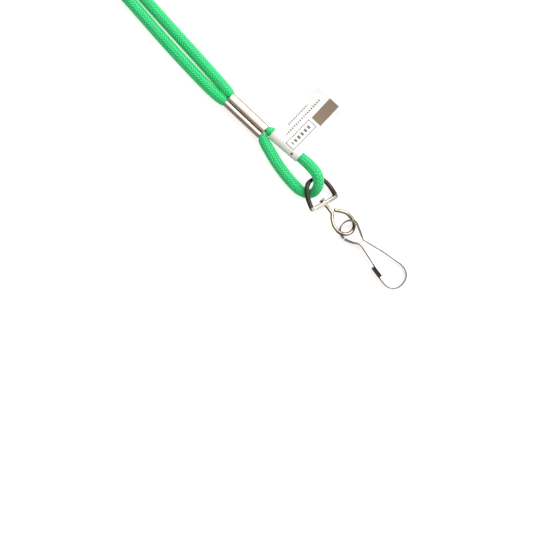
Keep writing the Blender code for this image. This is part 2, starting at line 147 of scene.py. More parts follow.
def modified(mesh, *steps):
    # the mesh after modifiers, given as (type, settings)
    obj = bpy.data.objects.new("work", mesh)
    bpy.context.scene.collection.objects.link(obj)
    for kind, settings in steps:
        modifier = obj.modifiers.new(kind.lower(), kind)
        for key, value in settings.items():
            setattr(modifier, key, value)
    seen = obj.evaluated_get(bpy.context.evaluated_depsgraph_get())
    out = bpy.data.meshes.new_from_object(seen)
    out.name = mesh.name
    bpy.data.objects.remove(obj)
    return out


def rounded(width, segments=2, angle=35):
    return ("BEVEL", {"width": width * mm, "segments": segments, "limit_method": "ANGLE",
                      "angle_limit": math.radians(angle), "harden_normals": False})


# one braid for the neck loop and the small loop
cord = {
    "diameter": 4.76,
    "carriers": 10,     # yarns each way round the cord
    "stitch": 1.15,     # mm between yarns along the cord
    "relief": 0.20,     # mm from crown to groove
    "acrossPower": 0.8,
    "alongPower": 0.5,  # lower is a fuller yarn
    "sides": 64,
    "visibleStep": 0.22,
    "hankStep": 0.9,
}

legs = {
    "left": [
        (-8.4, -1.66), (-9.5, -1.66), (-10.9, -1.96), (-13, -2.22), (-18, -2.08),
        (-26, -1.72), (-38, -0.95), (-50, 0.15), (-62, 1.35), (-75.7, 2.6),
    ],
    "right": [
        (-75.7, 7.7), (-62, 6.4), (-50, 5.4), (-38, 4.4), (-26, 3.45), (-18, 2.66),
        (-13, 2.38), (-10.9, 1.98), (-9.5, 1.66), (-8.4, 1.66),
    ],
    # share of the full width along a leg, by x
    "shares": [(-50, 1.0), (-38, 1.0), (-26, 1.0), (-18, 0.995), (-13, 0.97),
               (-10.9, 0.88), (-9.8, 0.80), (-9.5, 0.52), (-8.4, 0.44)],
    "squeezed": (-30, -12),     # x where the crimp begins to press, and presses fully
    "braided": (-82, -76),      # x where the hank's plain cord turns to braid
    "rise": (-26, -11),         # x where a leg climbs to the middle of the crimp
    "riseHeight": 0.5,
}
hank = {
    "farX": -168.6,             # centre of the far folds
    "middleY": 8.0,
    "folds": (14.6, 19.6, 17.1),    # radius of each turn's far fold
    "cornerSoft": 3.5,          # mm over which the route's corners are eased
    "riseSoft": 2.4,            # and its rises
    "bend": 22.0,               # radius in which the cord can rise over another
    "bendReach": 8.0,           # mm from the crossing to where it runs straight down
    "clear": 0.02,              # over the surface
    "tieX": -133.5,
    "tieLift": 0.45,            # the runs rise over the band beneath them
    "tieReach": 9.0,            # mm each way that they do
    "tieWidth": 7.0,
    "tieWall": 0.35,
    "tieGap": 0.06,
    "tieEdge": 0.1,
}


def hankRoute(cfg):
    # three turns in plan: the legs go in first, under the near folds
    x, y = cfg["farX"], cfg["middleY"]
    first, second, third = cfg["folds"]
    route = legs["left"] + [(-84, 3.2), (-92, 3.3), (-100, 2.4), (-108, -0.6), (-117, -4.2),
                            (-126, -6.2), (-134, -6.5)]
    route += arc(x, y, first, -90, -270)
    route += arc(-101.6, 5.3, 17.1, 90, -90)
    route += arc(x, y, second, -90, -270)
    route += [(-130, 27.6), (-121, 27.2), (-112, 25.0)] + arc(-104.6, 6.9, 15.7, 75, -90, 10)
    route += [(-118, -8.9)] + arc(x, y, third, -90, -270)
    route += [(-155, 24.6), (-148, 22.9), (-138, 19.2), (-128, 14.8), (-118, 11.0)]
    under = len(route)
    route += [(-108, 8.8), (-98, 8.3), (-88, 8.2)] + legs["right"]
    return np.array(route), under


def stackedLine(cfg, step=0.5):
    # plan route with heights: each turn lies on the surface or on the turns laid before it
    size = cord["diameter"]
    route, under = hankRoute(cfg)
    before = lengths(route)[under]
    total = lengths(route)[-1]
    plan = evenly(route, step)
    plan = np.stack([softened(plan[:, k], cfg["cornerSoft"] / step) for k in range(2)], axis=1)
    count = len(plan)
    index = np.arange(count)
    # the run to the right leg lies under all others, so it counts as laid first
    laid = np.where(index * total / (count - 1) > before - 2, index - 2 * count, index)
    apart = np.linalg.norm(plan[:, None] - plan[None], axis=2)
    inLegs = plan[:, 0] > -76
    over = (np.abs(index[:, None] - index) > 3 * size / step) & (laid[:, None] > laid)
    over &= (apart < 0.995 * size) & ~(inLegs[:, None] & inLegs)
    lift = np.where(over, np.sqrt(np.maximum(size ** 2 - apart ** 2, 0)), -np.inf)
    nearTie = np.exp(-((plan[:, 0] - cfg["tieX"]) / cfg["tieReach"]) ** 4)
    floor = size / 2 + cfg["clear"] + cfg["tieLift"] * nearTie
    away = np.abs(index[:, None] - index) * step
    curved, bend = np.minimum(away, cfg["bendReach"]), cfg["bend"]
    fall = curved ** 2 / (2 * bend) + (away - curved) * cfg["bendReach"] / bend
    z = floor
    for _ in range(8):
        need = np.maximum(floor, (lift + z).max(axis=1))
        z = softened(np.maximum((need - fall).max(axis=1), floor), cfg["riseSoft"] / step)
    rise = legs["riseHeight"] * ramp(*legs["rise"], plan[:, 0])
    return np.column_stack([plan, z + rise])


def braid(a, s):
    # height of the yarns, 0 to 1, at a turns round and s mm along: two over, two under
    p = cord["carriers"] * a + s / cord["stitch"]
    r = cord["carriers"] * a - s / cord["stitch"]
    cell = np.mod(np.floor(p) + np.floor(r), 4)
    first = cell < 2
    across = np.where(first, np.mod(r, 1), np.mod(p, 1)) - 0.5
    lengthwise = np.where(first, cell + np.mod(p, 1), cell - 2 + np.mod(r, 1)) / 2 - 0.5
    return (np.cos(np.pi * across) ** cord["acrossPower"]
            * np.cos(np.pi * lengthwise) ** cord["alongPower"])


def tubeRings(line, x, y):
    # rings across a line, from each point's offsets x to the side and y up
    ahead = unit(np.gradient(line, axis=0))
    side = unit(np.cross(ahead, (0, 0, 1)))
    up = np.cross(side, ahead)
    return line[:, None] + side[:, None] * x[..., None] + up[:, None] * y[..., None]


def cordMesh(name, line, wide, tall, relief):
    # a braided tube along a line in mm, squeezed to shares of its width and height
    along = lengths(line)
    a = np.linspace(0, 1, cord["sides"] + 1)
    turn = 2 * np.pi * a[:-1]
    depth = (braid(a[None, :-1], along[:, None]) - 1) * cord["relief"] * relief[:, None]
    radius = cord["diameter"] / 2 + depth
    x = radius * np.cos(turn) * wide[:, None]
    y = radius * np.sin(turn) * tall[:, None]
    return gridMesh(name, tubeRings(line, x, y), uv=(a, along))


def oval(share, hold):
    # the crimp squeezes the cord sideways more than it squeezes its height
    return share + (1 - share) * 0.8 * hold


def buildNeckCord(cfg):
    line = stackedLine(hank)
    along = lengths(line)
    fine = line[:, 0] > -80
    step = np.where(fine, cord["visibleStep"], cord["hankStep"])
    marks = np.concatenate([[0], np.cumsum(np.diff(along) / ((step[1:] + step[:-1]) / 2))])
    at = np.interp(np.linspace(0, marks[-1], int(marks[-1]) + 1), marks, along)
    line = np.stack([np.interp(at, along, line[:, k]) for k in range(3)], axis=1)
    xs, shares = zip(*cfg["shares"])
    wide = np.interp(line[:, 0], xs, shares)
    tall = oval(wide, ramp(*cfg["squeezed"], line[:, 0]))
    relief = ramp(*cfg["braided"], line[:, 0])
    mesh = cordMesh("neckCord", line, wide, tall, relief)
    piece = addPiece("neckCord", mesh, "lanyard", "neck_cord_left", "neck_cord_right",
                     "neck_cord_hank", slot="left_cord")
    return piece, line


loop = {
    # x, y, z and share of the full width
    "points": [
        (8.4, -1.66, 2.90, 0.44), (9.5, -1.66, 2.90, 0.50), (10.9, -1.90, 2.90, 0.84),
        (12.8, -2.72, 2.75, 0.94), (16.8, -3.90, 2.50, 1.0), (22.6, -5.50, 2.42, 1.0),
        (29.2, -6.60, 2.42, 1.0), (34.2, -7.00, 2.35, 0.97), (37.3, -6.70, 2.10, 0.88),
        (39.8, -5.50, 2.45, 0.80), (40.8, -3.50, 4.25, 0.82), (40.4, -1.20, 6.30, 0.88),
        (38.8, 0.80, 7.75, 0.94), (36.2, 2.15, 8.00, 1.0), (32.0, 2.75, 6.30, 1.0),
        (27.6, 2.75, 4.65, 0.94), (22.5, 2.64, 4.11, 0.90), (17.5, 2.54, 3.58, 0.90),
        (13.4, 2.40, 3.15, 0.90), (10.9, 1.84, 2.91, 0.82), (9.5, 1.66, 2.90, 0.50),
        (8.4, 1.66, 2.90, 0.44),
    ],
    "free": (14, 26),           # x where the crimp's hold lets go
}


def buildLoopCord(cfg):
    line = smoothLine(cfg["points"], cord["visibleStep"])
    share = line[:, 3]
    line = np.ascontiguousarray(line[:, :3])
    hold = 1 - ramp(*cfg["free"], line[:, 0])
    mesh = cordMesh("loopCord", line, share, oval(share, hold), np.ones(len(line)))
    return addPiece("loopCord", mesh, "lanyard", "loop_cord", slot="loop_cord"), line


def hull(points):
    # convex outline of points in a plane, counter-clockwise
    points = sorted(map(tuple, points))

    def half(items):
        out = []
        for p in items:
            while len(out) > 1 and ((out[-1][0] - out[-2][0]) * (p[1] - out[-2][1])
                                    - (out[-1][1] - out[-2][1]) * (p[0] - out[-2][0])) <= 0:
                out.pop()
            out.append(p)
        return out[:-1]

    return half(points) + half(points[::-1])


def buildTie(line, cfg):
    # a paper band drawn taut round the runs of the hank
    near = line[np.abs(line[:, 0] - cfg["tieX"]) < 0.6 * cord["hankStep"]][:, 1:]
    turn = np.linspace(0, 2 * np.pi, 48, endpoint=False)
    circle = np.stack([np.cos(turn), np.sin(turn)], axis=1)
    spots = (near[:, None] + circle * (cord["diameter"] / 2 + cfg["tieGap"])).reshape(-1, 2)
    outline = np.array(hull(spots))
    outline = evenly(np.vstack([outline, outline[:1]]), 0.5)[:-1]
    ahead = unit(np.roll(outline, -1, axis=0) - np.roll(outline, 1, axis=0))
    outward = np.stack([ahead[:, 1], -ahead[:, 0]], axis=1)
    half, wall = cfg["tieWidth"] / 2, cfg["tieWall"]
    section = [(-half, 0), (half, 0), (half, wall), (-half, wall)]
    rings = np.array([[(cfg["tieX"] + w, *(p + o * t)) for w, t in section]
                      for p, o in zip(outline, outward)])
    rings[..., 2] = np.maximum(rings[..., 2], cfg["clear"])
    mesh = gridMesh("hankTie", rings, closed=True)
    return addPiece("hankTie", modified(mesh, rounded(cfg["tieEdge"])), "lanyard", "hank_tie",
                    slot="tie_paper")


neckCord, neckLine = buildNeckCord(legs)
loopCord, loopLine = buildLoopCord(loop)
hankTie = buildTie(neckLine, hank)
print("cords laid", round(float(lengths(neckLine)[-1])), round(float(lengths(loopLine)[-1])), "mm")


crimp = {
    "length": 19.05, "width": 6.3, "height": 5.8, "wall": 0.45,
    "seamY": -0.7,     # the two curled edges meet to one side of the middle
    "lipGap": 0.30, "lipDepth": 1.5,
    "edge": 0.11,      # rounding of the cut edges
}


def crimpOutline(cfg):
    # section of the curled strip in (y, z), wall and all
    half, side, top, deep = cfg["wall"] / 2, cfg["width"] / 2, cfg["height"], cfg["lipDepth"]
    lip = cfg["lipGap"] / 2 + half
    sides = []
    for sign in (1, -1):
        room = side - sign * cfg["seamY"]
        points = [
            (lip, top - deep), (lip + 0.02, top - 0.55 * deep), (lip + 0.30, top - 0.22 * deep),
            (0.55 * room, top - half), (room - 0.2 * side, 0.88 * top), (room - half, 0.68 * top),
            (room - half, 0.5 * top), (room - half, 0.32 * top), (room - 0.2 * side, 0.11 * top),
            (room - 0.54 * side, half),
        ]
        line = smoothLine([(y, z, 0) for y, z in points], 0.16)[:, :2]
        line[:, 0] = sign * line[:, 0] + cfg["seamY"]
        low = np.stack([np.linspace(sign * 0.4 * side, 0, 8), np.full(8, half)], axis=1)
        sides.append(np.vstack([line, low]))
    line = np.vstack([sides[0], sides[1][-2::-1]])
    normal = unit(np.gradient(line, axis=0)) @ np.array([[0, 1], [-1, 0]]) * half
    return np.vstack([line + normal, (line - normal)[::-1]])


def buildCrimp(cfg):
    outline = crimpOutline(cfg)
    xs = np.linspace(-cfg["length"] / 2, cfg["length"] / 2, 40)
    rings = np.array([[(x, y, z) for y, z in outline] for x in xs])
    mesh = modified(gridMesh("crimpSleeve", rings), rounded(cfg["edge"], 3, 50))
    return addPiece("crimpSleeve", mesh, "lanyard", "crimp_sleeve", slot="crimp_nickel")


def axesOf(cfg):
    turns = (("Z", cfg["heading"]), ("Y", cfg["pitch"]), ("X", -cfg["roll"]))
    out = Matrix.Identity(3)
    for axis, angle in turns:
        out = out @ Matrix.Rotation(math.radians(angle), 3, axis)
    return np.array(out)


def placed(mesh, axes, at):
    spin = Matrix(axes.tolist()).to_4x4()
    mesh.transform(Matrix.Translation(Vector(np.array(at) * mm)) @ spin)
    return mesh


ring = {
    "bar": (47.38, -4.34, 3.05),    # middle of the bar's outer face
    "heading": -20.0, "pitch": 10.0, "roll": 18.0,
    "width": 12.9, "height": 12.0, "thick": 1.3, "strip": 2.2,
    "squareness": 2.4,              # 2 is a half ellipse
    "corner": 0.6,
    "hole": 1.08,                   # radius
    "edge": 0.26,
}
ringAxes = axesOf(ring)


def ringOutline(cfg, inset):
    across, tall = cfg["width"] / 2 - inset, cfg["height"] - inset
    a = np.linspace(0, np.pi, 73)
    c, s = np.cos(a), np.abs(np.sin(a))
    power = 2 / cfg["squareness"]
    curve = np.stack([-tall * s ** power, np.sign(c) * across * np.abs(c) ** power], axis=1)
    end, side = -inset - cfg["corner"], across - cfg["corner"]
    curve[0], curve[-1] = (end, across), (end, -across)
    return np.vstack([(-inset, side), curve, (-inset, -side)])


def buildRing(cfg):
    inner, outer = ringOutline(cfg, cfg["thick"]), ringOutline(cfg, 0)
    half = cfg["strip"] / 2
    rings = np.array([[(*i, -half), (*o, -half), (*o, half), (*i, half)]
                      for i, o in zip(inner, outer)])
    band = gridMesh("dRing", rings, closed=True)
    bm = bmesh.new()
    bmesh.ops.create_cone(bm, cap_ends=True, segments=40, radius1=cfg["hole"] * mm,
                          radius2=cfg["hole"] * mm, depth=4 * cfg["thick"] * mm)
    turn = Matrix.Translation((-cfg["thick"] / 2 * mm, 0, 0)) @ Matrix.Rotation(math.pi / 2, 4, "Y")
    bmesh.ops.transform(bm, matrix=turn, verts=bm.verts)
    drillMesh = bpy.data.meshes.new("drill")
    bm.to_mesh(drillMesh)
    bm.free()
    drill = bpy.data.objects.new("drill", drillMesh)
    bpy.context.scene.collection.objects.link(drill)
    cut = ("BOOLEAN", {"operation": "DIFFERENCE", "solver": "EXACT", "object": drill})
    mesh = modified(band, cut, rounded(cfg["edge"], 3, 40))
    bpy.data.objects.remove(drill)
    mesh.shade_smooth()
    placed(mesh, ringAxes, cfg["bar"])
    return addPiece("dRing", mesh, "ring", "d_ring", slot="ring_nickel")


swivel = {
    "heading": -8.0, "pitch": 0.8, "roll": 24.0,
    "wire": 1.4, "head": 2.6, "headThick": 0.75,
    "headPlay": 0.52,               # between the head and the bar
    "shank": 5.2, "eyeRadius": 4.3, "eyeReach": 11.4, "eyeOffset": 1.2, "sides": 28,
    # upset head: (place, radius), a low dome with a worn rim
    "profile": [(-1.0, 0.05), (-0.99, 0.35), (-0.95, 0.58), (-0.86, 0.80), (-0.72, 0.94),
                (-0.52, 1.0), (-0.28, 1.0), (-0.12, 0.93), (-0.03, 0.80)],
    "tip": 0.3,                     # length of the cut end's rounding
}
swivelAxes = axesOf(swivel)
barMiddle = np.array(ring["bar"]) + ringAxes @ (-ring["thick"] / 2, 0, 0)
eyeCentre = barMiddle + swivelAxes @ (swivel["eyeReach"], swivel["eyeOffset"], 0)


def buildSwivel(cfg):
    wire, head, thick = cfg["wire"] / 2, cfg["head"] / 2, cfg["headThick"]
    seat = -ring["thick"] / 2 - cfg["headPlay"]
    start = [(seat + thick * a, 0, head * r) for a, r in cfg["profile"]]
    start += [(seat + 0.02, 0, wire + 0.12), (seat + 0.16, 0, wire)]
    left, right = cfg["eyeOffset"] - cfg["eyeRadius"], cfg["eyeOffset"] + cfg["eyeRadius"]
    shank, reach = cfg["shank"], cfg["eyeReach"]
    middle = 0.5 * (shank + reach)
    bend = [(seat + 0.3, 0), (0, 0), (shank - 1.2, 0), (shank, -0.2), (shank + 1.6, 0.52 * left),
            (middle + 0.9, 0.93 * left)]
    bend += [(reach + x, cfg["eyeOffset"] + y) for x, y in arc(0, 0, cfg["eyeRadius"], -90, 90)]
    bend += [(middle + 0.4, 0.93 * right), (shank + 1.5, 0.68 * right),
             (shank - 0.7, 2 * wire + 0.12)]
    smooth = smoothLine([(s, t, 0) for s, t in bend], 0.24)
    along = lengths(smooth)
    tip = np.clip((along[-1] - along) / cfg["tip"], 0, 1)
    radii = wire * np.sqrt(np.maximum(1 - (1 - tip) ** 2, 0.12))
    line = np.vstack([[(s, t, 0) for s, t, _ in start], smooth])
    radii = np.concatenate([[r for *_, r in start], radii])
    turn = np.linspace(0, 2 * np.pi, cfg["sides"], endpoint=False)
    rings = tubeRings(line, np.cos(turn) * radii[:, None], np.sin(turn) * radii[:, None])
    mesh = placed(gridMesh("swivelEye", rings), swivelAxes, barMiddle)
    return addPiece("swivelEye", mesh, "swivel", "swivel_eye", slot="wire_nickel")


hook = {
    "thick": 0.45, "width": 2.5, "roll": 17.0, "topZ": 2.65, "edge": 0.1,
    "catchLength": 4.7, "catchDepth": 1.3, "catchInner": 2.6, "catchEdge": 0.09,
    "upright": (6.0, 12.5),     # x over which the leaning strip comes upright
    "catchX": 22.5,             # where its middle is at the catch's height
    "slopeRun": 11.0,           # over which it comes down to that from half its width
    "clear": 0.02,
    # line of the strip from the eye's centre, in plan
    "plan": [
        (3.95, -4.36), (2.3, -4.05), (0.9, -3.3), (-0.1, -2.1), (-0.45, -0.4), (0.0, 1.6),
        (1.4, 3.0), (3.2, 3.5), (5.7, 2.5), (8.1, 1.4), (9.9, 0.6), (11.3, 0.85), (15.7, 1.8),
        (20.0, 2.7), (24.9, 3.4), (27.6, 3.75), (29.6, 3.6), (31.4, 2.85), (32.7, 1.5),
        (33.4, -0.3), (33.5, -2.3), (32.9, -4.3), (31.6, -5.75), (29.6, -6.45), (27.4, -6.45),
        (25.3, -6.15), (22.8, -5.72), (20.3, -5.3),
    ],
}
gate = {
    "tipWidth": 1.8,
    "taper": (0.62, 0.8),           # share of its length where it narrows
    "plan": [
        (4.35, -4.33), (5.5, -4.0), (7.7, -3.1), (8.9, -2.35), (10.1, -1.9), (11.8, -2.0),
        (14.4, -2.6), (17.7, -3.4), (20.3, -4.1), (23.4, -4.75),
    ],
}


def stripFrame(x, y, cfg=hook):
    # middle of the strip and the lean of its width, from the eye's centre in plan
    top = 1 - ramp(*cfg["upright"], x)
    catchZ = cfg["catchInner"] / 2 + cfg["thick"]
    slope = (catchZ - cfg["width"] / 2 - cfg["clear"]) / cfg["slopeRun"]
    flat = catchZ - slope * (x - cfg["catchX"])
    roll = math.radians(cfg["roll"])
    z = flat + top * (cfg["topZ"] - flat + y * math.sin(roll))
    lean = (0, -math.sin(roll * top), math.cos(roll * top))
    return np.array((eyeCentre[0] + x, eyeCentre[1] + y, z)), np.array(lean)


def stripMesh(name, plan, widthAt, cfg=hook):
    # flat spring strip standing on edge along a line in plan, with rolled round edges
    line = smoothLine([(x, y, 0) for x, y in plan], 0.3)
    framed = [stripFrame(x, y) for x, y, _ in line]
    middle = np.array([p for p, _ in framed])
    lean = np.array([v for _, v in framed])
    ahead = unit(np.gradient(middle, axis=0))
    up = unit(lean - ahead * (lean * ahead).sum(axis=1, keepdims=True))
    side = np.cross(ahead, up)
    halfT, e = cfg["thick"] / 2, cfg["edge"]
    turn = np.radians([15, 45, 75])
    corner = [(halfT - e + e * math.cos(a), -e + e * math.sin(a)) for a in turn]
    rings = []
    for i in range(len(line)):
        halfW = widthAt(i / (len(line) - 1)) / 2
        quarter = [(t, halfW + w) for t, w in corner]
        section = quarter + [(-t, w) for t, w in quarter[::-1]]
        section += [(-t, -w) for t, w in quarter] + [(t, -w) for t, w in quarter[::-1]]
        rings.append([middle[i] + side[i] * t + up[i] * w for t, w in section])
    return gridMesh(name, np.array(rings))


def blockMesh(name, corners):
    bm = bmesh.new()
    for corner in corners:
        bm.verts.new(np.array(corner) * mm)
    bmesh.ops.convex_hull(bm, input=bm.verts)
    bmesh.ops.recalc_face_normals(bm, faces=bm.faces)
    mesh = bpy.data.meshes.new(name)
    bm.to_mesh(mesh)
    bm.free()
    return mesh


def buildHook(cfg):
    start, end = (np.array((*cfg["plan"][i], 0.0)) for i in (-1, -3))
    ahead = unit(end - start)
    inward = np.array((-ahead[1], ahead[0], 0))
    middle, _ = stripFrame(start[0], start[1])
    half, inner = cfg["thick"] / 2, cfg["catchInner"] / 2
    full = inner + cfg["thick"]
    # the catch: a flange above, a flange below and the web between them
    spans = [((-half, cfg["catchDepth"]), (inner, full)),
             ((-half, cfg["catchDepth"]), (-full, -inner)), ((-half, half), (-full, full))]
    joins, blocks = [], []
    for depths, heights in spans:
        corners = [middle + ahead * a + inward * b + np.array((0, 0, c))
                   for a in (-0.05, cfg["catchLength"]) for b in depths for c in heights]
        block = bpy.data.objects.new("catch", blockMesh("catch", corners))
        bpy.context.scene.collection.objects.link(block)
        blocks.append(block)
        joins.append(("BOOLEAN", {"operation": "UNION", "solver": "EXACT", "object": block}))
    strip = stripMesh("hookStrip", cfg["plan"], lambda t: cfg["width"])
    mesh = modified(strip, *joins, rounded(cfg["catchEdge"], 2, 60))
    for block in blocks:
        bpy.data.objects.remove(block)
    mesh.shade_smooth()
    mesh.set_sharp_from_angle(angle=math.radians(50))
    return addPiece("hookStrip", mesh, "hook", "hook", slot="hook_steel")


def buildGate(cfg):
    def widthAt(t):
        return hook["width"] + (cfg["tipWidth"] - hook["width"]) * float(ramp(*cfg["taper"], t))

    mesh = stripMesh("gateStrip", cfg["plan"], widthAt)
    return addPiece("gateStrip", mesh, "gate", "hook_gate", slot="gate_steel")


crimpSleeve = buildCrimp(crimp)
dRing = buildRing(ring)
swivelEye = buildSwivel(swivel)
hookStrip = buildHook(hook)
gateStrip = buildGate(gate)
print("metal made")


label = {
    "width": 14.5,      # along the cord
    "length": 26.0,     # of the flag, from the cord's middle
    "ply": 0.11,
    "start": 12.5,      # x of the edge nearest the crimp
    "hold": 1.04,       # its sleeve's radius, as a share of the cord's
    "clear": 0.14,      # more for the sleeve
    "glue": 0.012,      # between the two plies
    "meet": 1.9,        # from the sleeve to where the plies meet
    "flare": (0.9, 0.25),   # from the sleeve, and apart, on the way there
    "rest": 1.1,        # height of the flag's far part
    "curl": 0.35,       # the far edge stands up by this
    "bow": 0.18,        # the flag is a little arched along the cord
}


def buildLabel(cfg):
    # paper wrapped round the loop's return leg, its two ends stuck together as a flag
    foot = smoothLine([p[:3] for p in loop["points"] if p[1] > 0], 0.1)
    near, far = (foot[np.abs(foot[:, 0] - x).argmin()]
                 for x in (cfg["start"], cfg["start"] + cfg["width"]))
    radius = cfg["hold"] * cord["diameter"] / 2 + cfg["clear"] + cfg["ply"] / 2
    apart = (cfg["ply"] + cfg["glue"]) / 2
    upper = [(y, apart) for y in np.linspace(cfg["length"], radius + cfg["meet"], 24)]
    upper += [(radius + cfg["flare"][0], apart + cfg["flare"][1])]
    wrap = [(y, z) for y, z in arc(0, 0, radius, 42, 318, 28)]
    points = upper + wrap + [(y, -z) for y, z in upper[::-1]]
    line = smoothLine([(y, z, 0) for y, z in points], 0.25)[:, :2]
    normal = unit(np.gradient(line, axis=0)) @ np.array([[0, 1], [-1, 0]]) * cfg["ply"] / 2
    outline = np.vstack([line + normal, (line - normal)[::-1]])
    share = np.clip((outline[:, 0] - radius) / (cfg["length"] - radius), 0, 1)
    sink = -(near[2] - cfg["rest"]) * ramp(0, 0.75, share) + cfg["curl"] * share ** 3
    hold = 1 - ramp(radius, 0.6 * cfg["length"], outline[:, 0])
    rings = []
    for t in np.linspace(0, 1, 30):
        x, y, z = near + (far - near) * t
        bow = cfg["bow"] * math.sin(math.pi * t) * share
        rings.append(np.column_stack([np.full(len(outline), x), y + outline[:, 0],
                                      near[2] + (z - near[2]) * hold + outline[:, 1] + sink + bow]))
    mesh = gridMesh("flagLabel", np.array(rings))
    mesh.set_sharp_from_angle(angle=math.radians(50))
    return addPiece("flagLabel", mesh, "lanyard", "flag_label", slot="label_paper")


flagLabel = buildLabel(label)
print("label made")


def forward(operation):
    return lambda self, *others: self.maths(operation, self, *others)


def reflected(operation):
    return lambda self, other: self.maths(operation, other, self)


class Wire:
    # a socket with arithmetic, so that shader maths reads as an expression
    def __init__(self, paint, socket):
        self.paint, self.socket = paint, socket

    def maths(self, operation, *values):
        vector = self.socket.type == "VECTOR"
        kind = "ShaderNodeVectorMath" if vector else "ShaderNodeMath"
        return self.paint.node(kind, {"operation": operation}, values)

    __add__, __radd__ = forward("ADD"), reflected("ADD")
    __sub__, __rsub__ = forward("SUBTRACT"), reflected("SUBTRACT")
    __mul__, __rmul__ = forward("MULTIPLY"), reflected("MULTIPLY")
    __truediv__, __rtruediv__ = forward("DIVIDE"), reflected("DIVIDE")
    __mod__, __pow__ = forward("FLOORED_MODULO"), forward("POWER")
    __lt__, __gt__ = forward("LESS_THAN"), forward("GREATER_THAN")
    floor, part = forward("FLOOR"), forward("FRACT")
    cos, abs = forward("COSINE"), forward("ABSOLUTE")
    most, least = forward("MAXIMUM"), forward("MINIMUM")

    def between(self, low, high):
        return (self > low) * (self < high)

    def ramp(self, low, high):
        settings = {"interpolation_type": "SMOOTHSTEP", "clamp": True}
        return self.paint.node("ShaderNodeMapRange", settings, [self, low, high])


class Paint:
    # one material, or the sky's node tree when that is given, and a way to add nodes
    def __init__(self, name, tree=None, **constants):
        self.tree = tree
        if tree is not None:
            tree.nodes.clear()
            return
        self.material = bpy.data.materials.new(name)
        self.material.use_nodes = True
        self.tree = self.material.node_tree
        self.shader = self.tree.nodes["Principled BSDF"]
        self.set(**constants)

    def node(self, kind, settings=None, values=(), output=0):
        made = self.tree.nodes.new(kind)
        for key, value in (settings or {}).items():
            setattr(made, key, value)
        named = values.items() if isinstance(values, dict) else enumerate(values)
        for key, value in named:
            self.feed(made.inputs[key], value)
        return Wire(self, made.outputs[output]) if made.outputs else None

    def feed(self, socket, value):
        if isinstance(value, Wire):
            self.tree.links.new(value.socket, socket)
        else:
            socket.default_value = value

    def set(self, **values):
        for key, value in values.items():
            self.feed(self.shader.inputs[key.replace("_", " ")], value)

    def place(self, output="Object"):
        return self.node("ShaderNodeTexCoord", output=output)

    def split(self, vector):
        first = self.node("ShaderNodeSeparateXYZ", None, [vector])
        return [Wire(self, out) for out in first.socket.node.outputs]

    def joined(self, x, y, z=0.0):
        return self.node("ShaderNodeCombineXYZ", None, [x, y, z])

    def dot(self, vector, way):
        return self.node("ShaderNodeVectorMath", {"operation": "DOT_PRODUCT"},
                         [vector, tuple(float(v) for v in way)], output=1)

    def noise(self, vector, scale, detail=2.0, roughness=0.5):
        values = {"Vector": vector, "Scale": scale, "Detail": detail, "Roughness": roughness}
        return self.node("ShaderNodeTexNoise", None, values)

    def mix(self, factor, one, two):
        sockets = {0: factor, 6: one, 7: two}
        return self.node("ShaderNodeMix", {"data_type": "RGBA"}, sockets, output=2)

    def bump(self, height, distance, strength=1.0, normal=None):
        values = {"Height": height, "Distance": distance, "Strength": strength}
        if normal is not None:
            values["Normal"] = normal
        return self.node("ShaderNodeBump", None, values)

    def on(self, *objects):
        for obj in objects:
            obj.data.materials.clear()
            obj.data.materials.append(self.material)


# the cord's green: painted shade in the grooves, the dye's own colour on the yarns, and a painted
# highlight on the crowns
greens = {
    "grooveShade": (0.008, 0.34, 0.105, 1),
    "yarn": (0.030, 0.68, 0.220, 1),
    "crown": (0.095, 0.92, 0.350, 1),
    "grooveDepth": 0.12,    # mm of bump between the yarns
    "fibres": 0.03,         # mm of bump in the filaments
}


def paintCord(cfg):
    paint = Paint("braidedCord", Roughness=0.62, Sheen_Weight=0.35, Sheen_Roughness=0.4,
                  Specular_IOR_Level=0.35)
    around, along, _ = paint.split(paint.node("ShaderNodeUVMap", {"uv_map": "along"}))
    p = cord["carriers"] * around + along / cord["stitch"]
    r = cord["carriers"] * around - along / cord["stitch"]
    cell = (p.floor() + r.floor()) % 4.0
    first = cell < 2.0
    second = 1.0 - first
    across = first * r.part() + second * p.part() - 0.5
    lengthwise = (first * (cell + p.part()) + second * (cell - 2.0 + r.part())) / 2.0 - 0.5
    crown = (((across * math.pi).cos().most(0.0) ** cord["acrossPower"])
             * ((lengthwise * math.pi).cos().most(0.0) ** cord["alongPower"]))
    # fine filaments that run along each yarn
    alongYarn, acrossYarn = first * p + second * r, first * r + second * p
    filaments = paint.noise(paint.joined(alongYarn * 1.2, acrossYarn * 11.0), 1.0, 3.0)
    wide = paint.noise(paint.joined(around * 3.0, along * 0.11), 1.0, 2.0)
    # painted shade and highlight: darker down in the grooves, lighter on the crowns, with random
    # tone from the filaments and broad noise
    tone = crown * 0.9 + (filaments - 0.5) * 0.7 + (wide - 0.5) * 0.3
    colour = paint.mix(tone.ramp(0.0, 0.55), cfg["grooveShade"], cfg["yarn"])
    colour = paint.mix(tone.ramp(0.55, 1.15), colour, cfg["crown"])
    fine = paint.bump(filaments, cfg["fibres"] * mm, 0.8)
    normal = paint.bump(crown, cfg["grooveDepth"] * mm, 0.6, fine)
    paint.set(Base_Color=colour, Roughness=0.52 + filaments * 0.25, Normal=normal)
    return paint


sealed = {"dark": (0.006, 0.22, 0.06, 1), "light": (0.02, 0.46, 0.13, 1)}


def paintSealedEnd(cfg):
    # melted braid: hard, glossy and a little lumpy
    paint = Paint("sealedBraid", Roughness=0.4)
    lumps = paint.noise(paint.place(), 900.0, 4.0)
    paint.set(Base_Color=paint.mix(lumps.ramp(0.35, 0.65), cfg["dark"], cfg["light"]),
              Roughness=0.25 + lumps * 0.35, Normal=paint.bump(lumps, 0.1 * mm))
    return paint


